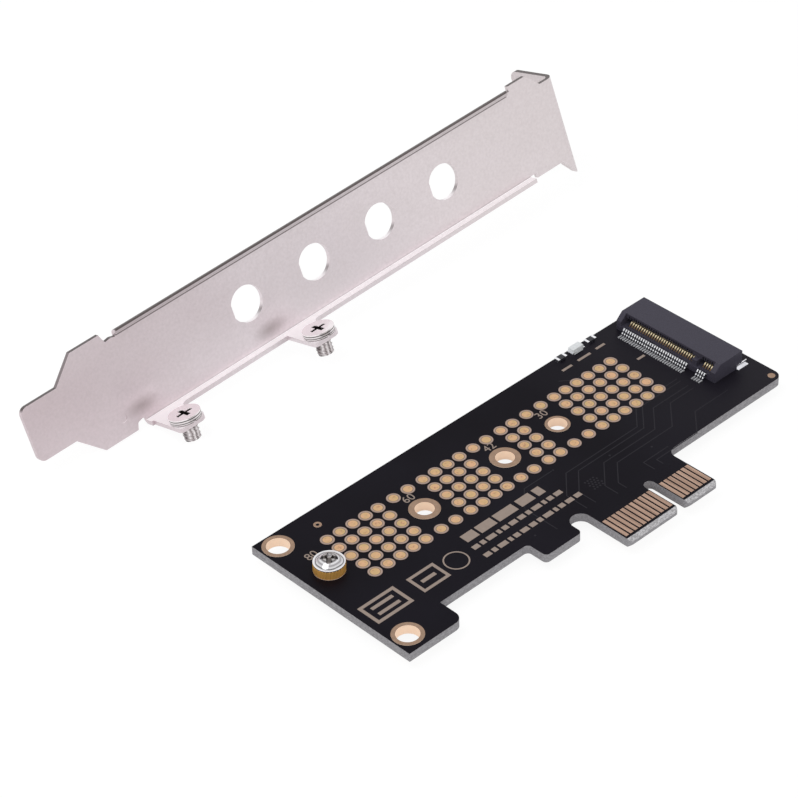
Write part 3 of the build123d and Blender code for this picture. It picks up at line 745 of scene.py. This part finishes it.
def heatPads():
    boxes = solidBoxes("thermal_pads")
    radius = max((high[0] - low[0]) / 2 for low, high in boxes)
    depth = boxes[0][1][2] - boxes[0][0][2]
    recipe = Recipe("discs", radius=radius, depth=depth, seed=padDisc["seed"])
    disc = recipe.add(
        "GeometryNodeMeshCylinder",
        inputs={"Vertices": padDisc["sides"], "Fill Segments": padDisc["rings"],
                "Radius": recipe.number("radius"), "Depth": recipe.number("depth")},
        output="Mesh")
    place = recipe.add("GeometryNodeInputPosition")
    flat = recipe.add("ShaderNodeVectorMath", {"operation": "MULTIPLY"}, {0: place, 1: (1, 1, 0)})
    reach = recipe.add("ShaderNodeVectorMath", {"operation": "LENGTH"}, {0: flat}, output="Value")
    share = recipe.add("ShaderNodeMath", {"operation": "DIVIDE"},
                       {0: reach, 1: recipe.number("radius")})
    marked = recipe.add("GeometryNodeStoreNamedAttribute",
                        {"data_type": "FLOAT", "domain": "POINT"},
                        {"Geometry": disc, "Name": "share", "Value": share})
    spread = recipe.add("GeometryNodeInstanceOnPoints",
                        inputs={"Points": recipe.number("Geometry"), "Instance": marked})
    chance = recipe.add("FunctionNodeRandomValue", {"data_type": "FLOAT"},
                        {"Seed": recipe.number("seed")}, output=1)
    toned = recipe.add("GeometryNodeStoreNamedAttribute",
                       {"data_type": "FLOAT", "domain": "INSTANCE"},
                       {"Geometry": spread, "Name": "tone", "Value": chance})
    centres = [(first + second) / 2 for first, second in boxes]
    piece = recipe.bake("heat_pads", pointMesh("padPoints", centres), toned, "heat_pad")
    keep(piece, "bare_copper", "heat_pad", "thermal_pads")
    print("heat pads made:", len(boxes))


heatPads()


# Turned pieces: a closed profile of (radius, height) points swept round an upright axis
def turned(name, centres, profiles, sides):
    vertices, faces = [], []
    for (x, y), profile in zip(centres, profiles):
        base, count = len(vertices), len(profile)
        for step in range(sides):
            angle = math.tau * step / sides
            vertices += [(x + r * math.cos(angle), y + r * math.sin(angle), z) for r, z in profile]
        for step in range(sides):
            here, there = base + step * count, base + (step + 1) % sides * count
            for k in range(count):
                following = (k + 1) % count
                faces.append((here + k, there + k, there + following, here + following))
    mesh = bpy.data.meshes.new(name)
    mesh.from_pydata(vertices, [], faces)
    return newPiece(name, mesh)


# Plated holes: a land on each face and a thin barrel between them
platedKinds = {
    "bracket_hole_lands": {"mount": "bracket_holes", "radius": "hole_r_mm", "sides": 56},
    "module_hole_lands": {"mount": "module_hole_long", "radius": "r_mm", "sides": 48},
}
barrelThick = 0.03 * mm
landOverlap = 0.001 * mm


def platedHoles():
    contactLow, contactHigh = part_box("front_edge_contacts")
    skin = contactHigh[2] - contactLow[2]
    bores = {mount["name"]: mount["dims"] for mount in frame["record"]["mounts"]}
    for node, kind in platedKinds.items():
        bore = bores[kind["mount"]][kind["radius"]] * mm
        holes = {}
        for low, high in solidBoxes(node):
            key = (round((low[0] + high[0]) / 2, 5), round((low[1] + high[1]) / 2, 5))
            reach = (high[1] - low[1]) / 2
            first, last, _ = holes.get(key, (low[2], high[2], reach))
            holes[key] = (min(first, low[2]), max(last, high[2]), reach)
        inner, outer = bore - barrelThick, bore - landOverlap
        profiles = [[
            (inner, first), (reach, first), (reach, first + skin), (outer, first + skin),
            (outer, last - skin), (reach, last - skin), (reach, last), (inner, last),
        ] for first, last, reach in holes.values()]
        piece = turned(node + "_plated", list(holes), profiles, kind["sides"])
        piece.data.set_sharp_from_angle(angle=math.radians(edges["corner"]))
        keep(piece, "bare_copper", "bare_copper", node)


platedHoles()
print("plated holes made")


# Flat marks on the board's top face, in millimetres: closed plates from outlines and rings
marks = {
    "thick": 0.012,
    "numbers": {"30": (52.09, 8.35), "42": (40.09, 8.35), "60": (22.09, 8.35), "80": (2.09, 9.1)},
    "numberSize": 2.24,
    "bars": [(64.1, 14.1, 2.3, 0.5), (68.3, 14.2, 3.0, 0.5), (72.3, 14.3, 2.1, 0.5),
             (74.75, 7.3, 1.7, 0.5)],
    "blocks": [(22.4, 2.6), (25.9, 3.4), (30.2, 4.2), (34.6, 3.0), (37.6, 1.6)],
    "blockY": -5.0,
    "blockHeight": 1.9,
    "dashRows": [(20.6, 39.4, -7.55), (20.6, 41.2, -10.1)],
    "dashLengths": (1.3, 0.9, 1.8, 0.7, 1.1, 1.5),
    "dashGap": 0.45,
    "dashHeight": 0.95,
    "rings": [(16.85, -7.7, 2.15, 1.9)],
    "frames": [(11.1, -7.5, 5.6, 4.2, 0.55), (2.2, -7.4, 7.4, 4.8, 0.6)],
    "frameBars": [(11.1, -7.5, 2.9, 0.7), (2.2, -6.6, 4.4, 0.65), (2.2, -8.2, 4.4, 0.65)],
    "fiducials": [(85.93, -11.565, 0.65)],
    "smallHole": (7.77, 13.945, 0.68, 0.3),
    "tracks": [
        [(33.0, -13.6), (33.0, -6.5), (36.5, -3.0), (43.0, -3.0)],
        [(39.9, -13.4), (39.9, -9.0), (43.9, -5.0), (60.5, -5.0), (64.5, -1.0), (74.5, -1.0)],
        [(41.9, -13.4), (41.9, -9.8), (45.7, -6.0), (61.0, -6.0), (65.2, -1.8), (74.5, -1.8)],
        [(45.9, -14.4), (45.9, -11.6), (50.0, -7.5), (62.0, -7.5), (66.0, -3.5), (74.5, -3.5)],
        [(47.9, -14.4), (47.9, -12.6), (51.5, -9.0), (64.5, -9.0), (68.9, -4.6), (74.5, -4.6)],
        [(54.4, -14.4), (54.4, -12.0), (60.0, -12.0)],
        [(56.4, -14.4), (56.4, -13.0), (66.0, -13.0), (70.0, -9.0), (78.0, -9.0)],
        [(60.5, 12.6), (62.5, 10.9), (66.0, 10.9)],
    ],
    "trackWidth": 0.16,
    "viaRadius": 0.19,
    "vias": [(52.0, -6.9), (43.0, -3.0), (60.0, -12.0), (66.0, 10.9), (33.0, -6.5),
             (29.5, -12.2), (58.3, -10.2)],
    "cluster": {"start": (44.2, -11.0), "columns": 4, "rows": 5, "pitch": 0.62, "rowStep": 0.87},
    "sides": {"ring": 28, "via": 10, "cluster": 6},
}


def circle(x, y, radius, kind="ring"):
    sides = marks["sides"][kind]
    angles = [math.tau * k / sides for k in range(sides)]
    return [(x + radius * math.cos(angle), y + radius * math.sin(angle)) for angle in angles]


# Corners of a rectangle round a place
def block(x, y, width, height):
    signs = ((-1, -1), (1, -1), (1, 1), (-1, 1))
    return [(x + a * width / 2, y + b * height / 2) for a, b in signs]


# Outline of a thin line that follows the given points
def lineOutline(points, width):
    places = [Vector(point) for point in points]
    ways = [(after - before).normalized() for before, after in zip(places, places[1:])]
    left, right = [], []
    for place, before, after in zip(places, ways[:1] + ways, ways + ways[-1:]):
        middle = (before + after).normalized()
        shift = Vector((-middle.y, middle.x)) * (width / 2 / middle.dot(before))
        left.append(place + shift)
        right.append(place - shift)
    return [tuple(point) for point in right + left[::-1]]


# Closed plates on the board's top; an outline may come with a second one for its hole
def flatPlates(name, outlines, slot, finish, thick):
    vertices, faces = [], []
    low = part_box("circuit_board")[1][2]
    for outline, hole in outlines:
        base, count = len(vertices), len(outline)
        loops = [outline, hole] if hole else [outline]
        for loop in loops:
            for z in (low, low + thick * mm):
                vertices += [(x * mm, y * mm, z) for x, y in loop]
        for number in range(len(loops)):
            start = base + number * 2 * count
            for k in range(count):
                here, there = start + k, start + (k + 1) % count
                wall = (here, there, there + count, here + count)
                faces.append(wall if number == 0 else wall[::-1])
        if hole:
            for k in range(count):
                other = (k + 1) % count
                outer, inner = base, base + 2 * count
                faces.append((outer + count + k, outer + count + other,
                              inner + count + other, inner + count + k))
                faces.append((outer + other, outer + k, inner + k, inner + other))
        else:
            faces.append(tuple(base + count + k for k in range(count)))
            faces.append(tuple(base + k for k in reversed(range(count))))
    mesh = bpy.data.meshes.new(name)
    mesh.from_pydata(vertices, [], faces)
    keep(newPiece(name, mesh), slot, finish)


def dashes(first, last, y):
    x, number, result = first, 0, []
    while x < last:
        length = marks["dashLengths"][number % len(marks["dashLengths"])]
        result.append(block(x + length / 2, y, length, marks["dashHeight"]))
        x += length + marks["dashGap"]
        number += 1
    return result


# Plain numbers beside the module holes, each text a mesh before it is put in place
def printedNumbers():
    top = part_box("circuit_board")[1][2]
    meshes = []
    for word, (x, y) in marks["numbers"].items():
        curve = bpy.data.curves.new("number", "FONT")
        curve.body = word
        curve.align_x = "CENTER"
        curve.align_y = "CENTER"
        curve.size = marks["numberSize"] * mm
        curve.extrude = marks["thick"] / 2 * mm
        mesh = evaluated(newPiece("number_draft", curve))
        mesh.transform(Matrix.Translation((x * mm, y * mm, top + marks["thick"] / 2 * mm)))
        meshes.append(mesh)
    shape = bmesh.new()
    for mesh in meshes:
        shape.from_mesh(mesh)
    bmesh.ops.remove_doubles(shape, verts=shape.verts, dist=mergeGap)
    whole = bpy.data.meshes.new("printedNumbers")
    shape.to_mesh(whole)
    shape.free()
    keep(newPiece("printed_numbers", whole), "solder_mask", "board_print")


def boardMarks():
    plain = [block(*bar) for bar in marks["bars"]]
    plain += [block(x, marks["blockY"], width, marks["blockHeight"])
              for x, width in marks["blocks"]]
    for row in marks["dashRows"]:
        plain += dashes(*row)
    plain += [block(*bar) for bar in marks["frameBars"]]
    outlines = [(outline, None) for outline in plain]
    for x, y, width, height, line in marks["frames"]:
        inside = block(x, y, width - 2 * line, height - 2 * line)
        outlines.append((block(x, y, width, height), inside))
    outlines += [(circle(x, y, outer), circle(x, y, inner))
                 for x, y, outer, inner in marks["rings"]]
    flatPlates("board_marks", outlines, "solder_mask", "board_print", marks["thick"])
    printedNumbers()
    x, y, outer, inner = marks["smallHole"]
    copper = [(circle(x, y, outer), circle(x, y, inner))]
    copper += [(circle(*place), None) for place in marks["fiducials"]]
    flatPlates("small_lands", copper, "bare_copper", "bare_copper", marks["thick"])
    faint = [lineOutline(run, marks["trackWidth"]) for run in marks["tracks"]]
    faint += [circle(x, y, marks["viaRadius"], "via") for x, y in marks["vias"]]
    cluster = marks["cluster"]
    pitch, (x, y) = cluster["pitch"], cluster["start"]
    for row in range(cluster["rows"]):
        first, height = x + row % 2 / 2 * pitch, y + row * pitch * cluster["rowStep"]
        faint += [circle(first + k * pitch, height, marks["viaRadius"], "cluster")
                  for k in range(cluster["columns"])]
    flatPlates("faint_tracks", [(outline, None) for outline in faint], "solder_mask",
               "faint_track", marks["thick"] / 2)


boardMarks()
print("board marks made")


# Screw threads, in millimetres: one coil on the shank of each bracket screw
thread = {"pitch": 0.62, "depth": 0.16, "turns": 4.6, "shank": 1.33, "steps": 28, "sides": 3,
          "search": 6, "endSpan": 0.01, "lift": 0.12}


def screwThreads():
    rise = thread["pitch"] * thread["turns"]
    recipe = Recipe("coils", shank=thread["shank"] * mm, rise=rise * mm, turns=thread["turns"],
                    depth=thread["depth"] * mm)
    coil = recipe.add("GeometryNodeCurveSpiral", inputs={
        "Resolution": thread["steps"], "Rotations": recipe.number("turns"),
        "Start Radius": recipe.number("shank"), "End Radius": recipe.number("shank"),
        "Height": recipe.number("rise")})
    ridge = recipe.add("GeometryNodeCurvePrimitiveCircle", inputs={
        "Resolution": thread["sides"], "Radius": recipe.number("depth")}, output="Curve")
    swept = recipe.add("GeometryNodeCurveToMesh", inputs={
        "Curve": coil, "Profile Curve": ridge, "Fill Caps": True})
    spun = recipe.add("GeometryNodeInstanceOnPoints", inputs={
        "Points": recipe.number("Geometry"), "Instance": swept,
        "Rotation": tuple(sheetTurn)})
    starts = [screwTip((low + high) / 2) for low, high in solidBoxes("bracket_screws")]
    piece = recipe.bake("screw_threads", pointMesh("threadPoints", starts), spun, "nickel_plate")
    keep(piece, "nickel_plate", "nickel_plate")


# Place on the axis of the bracket screw round a middle, a little above the screw's end
def screwTip(middle):
    way, search = sheetWays[2], thread["search"] * mm
    points = [vert.co for vert in nodes["bracket_screws"].data.vertices]
    near = [point for point in points if (point - middle).length < search]
    limit = min(point.dot(way) for point in near) + thread["endSpan"] * mm
    end = [point for point in near if point.dot(way) < limit]
    return sum(end, Vector()) / len(end) + way * (thread["lift"] * mm)


screwThreads()
print("screw threads made")

# Light, floor and camera
studio = {
    "diffuseLevel": 0.55,
    "lampSize": 0.35,
    "keyPower": 0.9,
    "keyAt": (-0.25, 0.05, 0.55),
    "fillPower": 0.35,
    "fillAt": (0.1, -0.5, 0.35),
    "floorReach": 1.5,
    "floorTone": 0.9,
    "floorShare": 0.86,
    "floorGlow": 1.07,
    "middle": (0.045, 0.015, 0),
    "card": {"way": (0.12, 0.16, 1), "far": 0.6, "wide": 0.30, "tall": 0.26, "tone": 0.01},
}


def aimed(item, target):
    way = Vector(target) - item.location
    item.rotation_mode = "QUATERNION"
    item.rotation_quaternion = way.to_track_quat("-Z", "Y")


def lamp(name, place, power):
    light = bpy.data.lights.new(name, "AREA")
    light.shape = "DISK"
    light.size = studio["lampSize"]
    light.energy = power
    item = bpy.data.objects.new(name, light)
    scene.collection.objects.link(item)
    item.location = place
    aimed(item, studio["middle"])


def sky():
    world = bpy.data.worlds.new("studio")
    scene.world = world
    world.use_nodes = True
    tree = world.node_tree
    ray = tree.nodes.new("ShaderNodeLightPath")
    seen = Wire(tree, ray.outputs["Is Camera Ray"])
    shone = Wire(tree, ray.outputs["Is Glossy Ray"])
    passed = Wire(tree, ray.outputs["Is Transmission Ray"])
    direct = (seen + shone + passed).clamped()
    level = direct * (1 - studio["diffuseLevel"]) + studio["diffuseLevel"]
    backdrop = tree.nodes["Background"]
    backdrop.inputs["Color"].default_value = (1, 1, 1, 1)
    plug(tree, backdrop.inputs["Strength"], level)


# Flat sheet that faces up, with one plain material
def plainSheet(name, wide, tall, height, tone):
    corners = [(x, y, height) for x, y in block(0, 0, wide, tall)]
    mesh = bpy.data.meshes.new(name)
    mesh.from_pydata(corners, [], [(0, 1, 2, 3)])
    finish = Finish(name + "Finish", Specular_IOR_Level=0, Base_Color=(tone, tone, tone))
    mesh.materials.append(finish.material)
    return newPiece(name, mesh), finish


# White floor: it glows for the camera and for mirror rays, and keeps the object's shadow
def floor():
    lowest = min(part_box(name)[0][2] for name in nodes)
    wide = studio["floorReach"] * 2
    piece, finish = plainSheet("floor", wide, wide, lowest, studio["floorTone"])
    finish.put({"Roughness": 1})
    tree = finish.tree
    seen = finish.add("LightPath", output="Is Camera Ray")
    shone = finish.add("LightPath", output="Is Glossy Ray")
    glow = finish.add("Emission", inputs={"Strength": studio["floorGlow"]})
    mixed = finish.add("MixShader", inputs={
        0: (seen + shone).clamped() * studio["floorShare"],
        1: Wire(tree, finish.shader.outputs[0]), 2: glow})
    tree.links.new(mixed.socket, tree.nodes["Material Output"].inputs[0])


# Dark card that only mirror rays meet; it draws the dark lines in the bright metal
def card():
    look = studio["card"]
    piece, _ = plainSheet("card0", look["wide"], look["tall"], 0, look["tone"])
    piece.location = Vector(look["way"]).normalized() * look["far"] + Vector(studio["middle"])
    aimed(piece, studio["middle"])
    piece.visible_camera = False
    piece.visible_diffuse = False
    piece.visible_shadow = False
    piece.visible_transmission = False


cameraView = {
    "place": (-0.22375, -0.260804, 0.300043),
    "right": (0.7229, -0.69021, -0.03205),
    "up": (0.43803, 0.42192, 0.79379),
    "way": (0.53436, 0.58787, -0.60734),
    "lens": 134.974,
    "sensor": 36,
    "clip": (0.01, 10),
}


def camera():
    data = bpy.data.cameras.new("camera")
    data.lens = cameraView["lens"]
    data.sensor_width = cameraView["sensor"]
    data.clip_start, data.clip_end = cameraView["clip"]
    item = bpy.data.objects.new("camera", data)
    scene.collection.objects.link(item)
    back = -Vector(cameraView["way"])
    turn = Matrix((cameraView["right"], cameraView["up"], back)).transposed().to_4x4()
    item.matrix_world = Matrix.Translation(cameraView["place"]) @ turn
    scene.camera = item


sky()
floor()
card()
lamp("key", studio["keyAt"], studio["keyPower"])
lamp("fill", studio["fillAt"], studio["fillPower"])
camera()
scene.view_settings.view_transform = "Standard"
print("studio made")
